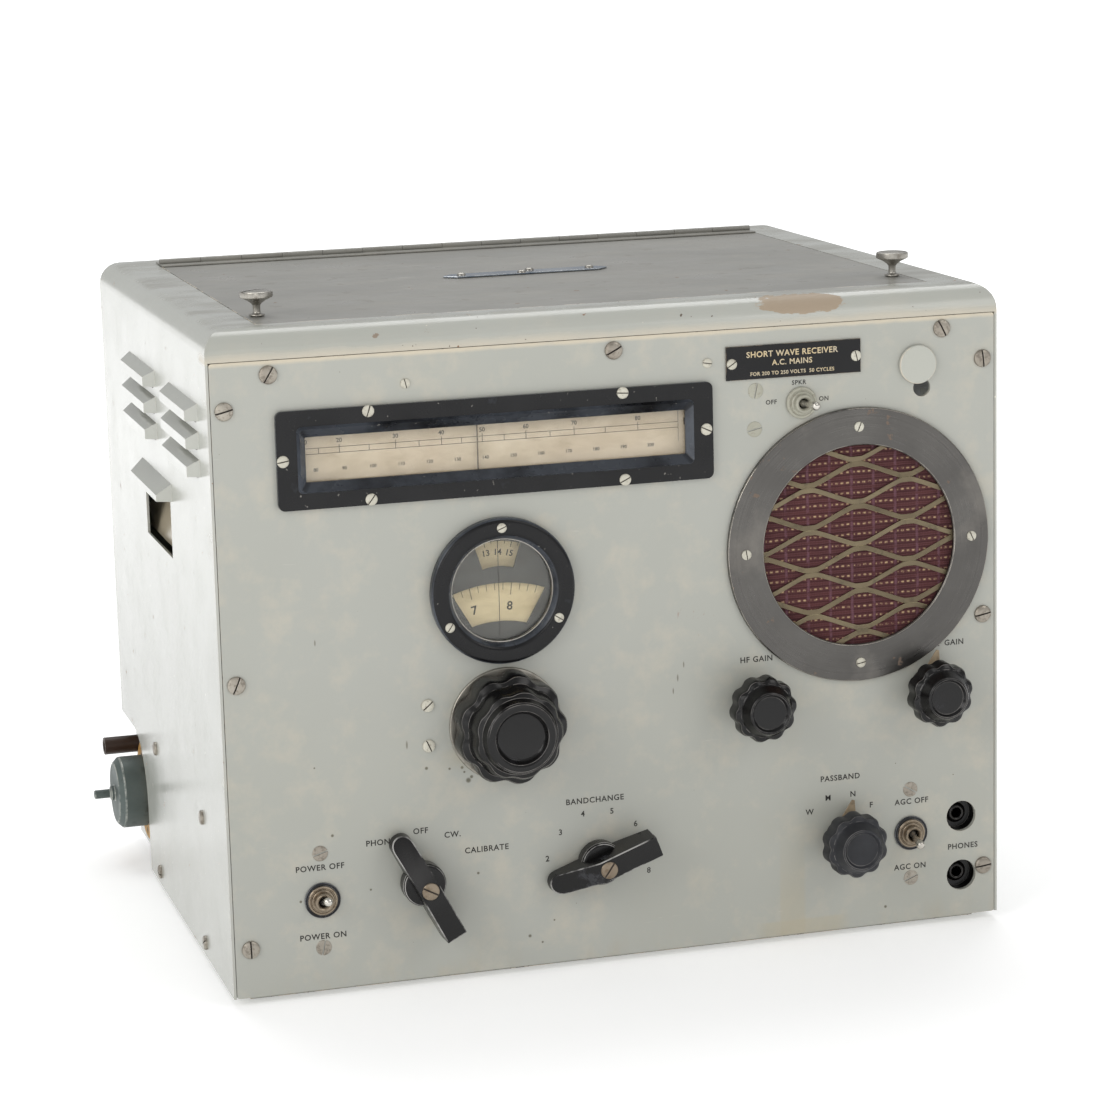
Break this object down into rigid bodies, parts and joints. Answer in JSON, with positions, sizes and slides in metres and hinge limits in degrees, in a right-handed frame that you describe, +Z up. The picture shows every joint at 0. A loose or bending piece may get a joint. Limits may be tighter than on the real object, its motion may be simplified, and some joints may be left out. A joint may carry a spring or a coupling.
{
  "type": "shortwave receiver",
  "caption": "Bench shortwave receiver in a grey steel case: slide-rule dial, round logging dial, front loudspeaker, knobs, toggles, hinged lid and side hand-holds.",
  "frame": {"origin": "centre of the underside of the bottom plate", "axes": "+X to the right seen from the front, +Z up; the front panel faces -Y"},
  "size_m": [0.5326, 0.424, 0.423],
  "materials": {
    "grey_paint": "semi-gloss, worn",
    "inner_steel": "plain",
    "black_paint": "gloss, worn",
    "bakelite": "polished",
    "glass": "clear",
    "card": "matt",
    "nickel": "dulled plating",
    "brass": "tarnished",
    "aluminium": "plain",
    "cloth": "woven",
    "paper": "pulp",
    "yellow_paint": "worn",
    "grey_plug": "moulded",
    "brown_moulding": "aged",
    "blued_steel": "blued"
  },
  "bodies": {
    "cabinet": {"cabinet_shell": "grey_paint", "bottom_plate": "grey_paint", "rear_panel": "grey_paint", "front_panel": "grey_paint", "chassis_tray": "aluminium", "dial_bezel": "black_paint", "dial_glass": "glass", "scale_plate": "card", "logging_bezel": "black_paint", "logging_glass": "glass", "logging_mask": "black_paint", "speaker_ring": "nickel", "speaker_grille": "brass", "speaker_cloth": "cloth", "speaker_basket": "inner_steel", "speaker_cone": "paper", "speaker_magnet": "inner_steel", "nameplate": "black_paint", "tuning_backplate": "nickel", "tuning_gearbox": "aluminium", "capacitor_frame": "aluminium", "power_switch_body": "black_paint", "agc_switch_body": "black_paint", "speaker_switch_body": "grey_paint", "phone_jack_upper": "bakelite", "phone_jack_lower": "bakelite", "connector_plate": "grey_paint", "mains_socket": "yellow_paint", "aerial_terminal": "brown_moulding", "mains_transformer": "inner_steel", "if_can": "aluminium", "valve_1": "glass", "valve_2": "glass", "hf_gain_pot": "aluminium", "lf_gain_pot": "aluminium", "passband_switch": "aluminium", "function_switch": "aluminium", "bandchange_switch": "aluminium", "hinge_fixed_leaf": "grey_paint", "hinge_pin": "nickel"},
    "lid": {"top_lid": "grey_paint", "hinge_moving_leaf": "grey_paint", "lid_strap": "blued_steel"},
    "thumb_screw_left": {"thumb_screw_left": "nickel"},
    "thumb_screw_right": {"thumb_screw_right": "nickel"},
    "tuning": {"tuning_knob": "bakelite", "logging_disc": "card"},
    "turns_disc": {"turns_disc": "card"},
    "capacitor_rotor": {"capacitor_rotor": "aluminium"},
    "dial_cursor": {"dial_cursor": "black_paint"},
    "hf_gain_knob": {"hf_gain_knob": "bakelite"},
    "lf_gain_knob": {"lf_gain_knob": "bakelite"},
    "passband_knob": {"passband_knob": "bakelite"},
    "function_knob": {"function_knob": "bakelite"},
    "bandchange_knob": {"bandchange_knob": "bakelite"},
    "power_lever": {"power_lever": "nickel"},
    "agc_lever": {"agc_lever": "nickel"},
    "speaker_lever": {"speaker_lever": "nickel"},
    "cover_disc": {"cover_disc": "grey_paint"},
    "mains_plug": {"mains_plug": "grey_plug"}
  },
  "joints": [
    {"name": "lid_hinge", "type": "hinge", "parent": "cabinet", "child": "lid", "pos_m": [0, 0.1595, 0.4093], "axis": [-1, 0, 0], "range_deg": [0, 110]},
    {"name": "thumb_screw_left_spin", "type": "hinge", "parent": "lid", "child": "thumb_screw_left", "pos_m": [-0.203, -0.1305, 0.407], "axis": [0, 0, 1], "continuous": true},
    {"name": "thumb_screw_right_spin", "type": "hinge", "parent": "lid", "child": "thumb_screw_right", "pos_m": [0.203, -0.1305, 0.407], "axis": [0, 0, 1], "continuous": true},
    {"name": "tuning_spin", "type": "hinge", "parent": "cabinet", "child": "tuning", "pos_m": [-0.074, -0.1925, 0.159], "axis": [0, -1, 0], "range_deg": [-4860, 5580]},
    {"name": "turns_disc_turn", "type": "hinge", "parent": "cabinet", "child": "turns_disc", "pos_m": [-0.074, -0.1785, 0.2237], "axis": [0, -1, 0], "range_deg": [-155, 175]},
    {"name": "capacitor_turn", "type": "hinge", "parent": "cabinet", "child": "capacitor_rotor", "pos_m": [-0.074, -0.0855, 0.159], "axis": [0, -1, 0], "range_deg": [-90, 95]},
    {"name": "cursor_slide", "type": "slide", "parent": "cabinet", "child": "dial_cursor", "axis": [1, 0, 0], "range_m": [-0.105, 0.12]},
    {"name": "hf_gain_turn", "type": "hinge", "parent": "cabinet", "child": "hf_gain_knob", "pos_m": [0.083, -0.1925, 0.1585], "axis": [0, -1, 0], "range_deg": [-150, 150]},
    {"name": "lf_gain_turn", "type": "hinge", "parent": "cabinet", "child": "lf_gain_knob", "pos_m": [0.199, -0.1925, 0.157], "axis": [0, -1, 0], "range_deg": [-135, 165]},
    {"name": "passband_turn", "type": "hinge", "parent": "cabinet", "child": "passband_knob", "pos_m": [0.142, -0.1925, 0.066], "axis": [0, -1, 0], "range_deg": [-33, 66]},
    {"name": "function_turn", "type": "hinge", "parent": "cabinet", "child": "function_knob", "pos_m": [-0.13, -0.1925, 0.067], "axis": [0, -1, 0], "range_deg": [-90, 0]},
    {"name": "bandchange_turn", "type": "hinge", "parent": "cabinet", "child": "bandchange_knob", "pos_m": [-0.0183, -0.1925, 0.068], "axis": [0, -1, 0], "range_deg": [-219, 0]},
    {"name": "power_toggle", "type": "hinge", "parent": "cabinet", "child": "power_lever", "pos_m": [-0.1907, -0.1965, 0.0611], "axis": [1, 0, 0], "range_deg": [0, 32]},
    {"name": "agc_toggle", "type": "hinge", "parent": "cabinet", "child": "agc_lever", "pos_m": [0.1882, -0.1965, 0.0626], "axis": [-1, 0, 0], "range_deg": [0, 32]},
    {"name": "speaker_toggle", "type": "hinge", "parent": "cabinet", "child": "speaker_lever", "pos_m": [0.1182, -0.1965, 0.3416], "axis": [0, 0, -1], "range_deg": [0, 32]},
    {"name": "cover_swing", "type": "hinge", "parent": "cabinet", "child": "cover_disc", "pos_m": [0.1985, -0.1925, 0.3559], "axis": [0, -1, 0], "range_deg": [0, 126]},
    {"name": "mains_plug_pull", "type": "slide", "parent": "cabinet", "child": "mains_plug", "axis": [-1, 0, 0], "range_m": [0, 0.03]}
  ],
  "couplings": [
    {"joint": "turns_disc_turn", "follows": "tuning_spin", "ratio": 0.030556},
    {"joint": "capacitor_turn", "follows": "tuning_spin", "ratio": 0.016667},
    {"joint": "cursor_slide", "follows": "tuning_spin", "m_per_rad": 0.00122}
  ]
}
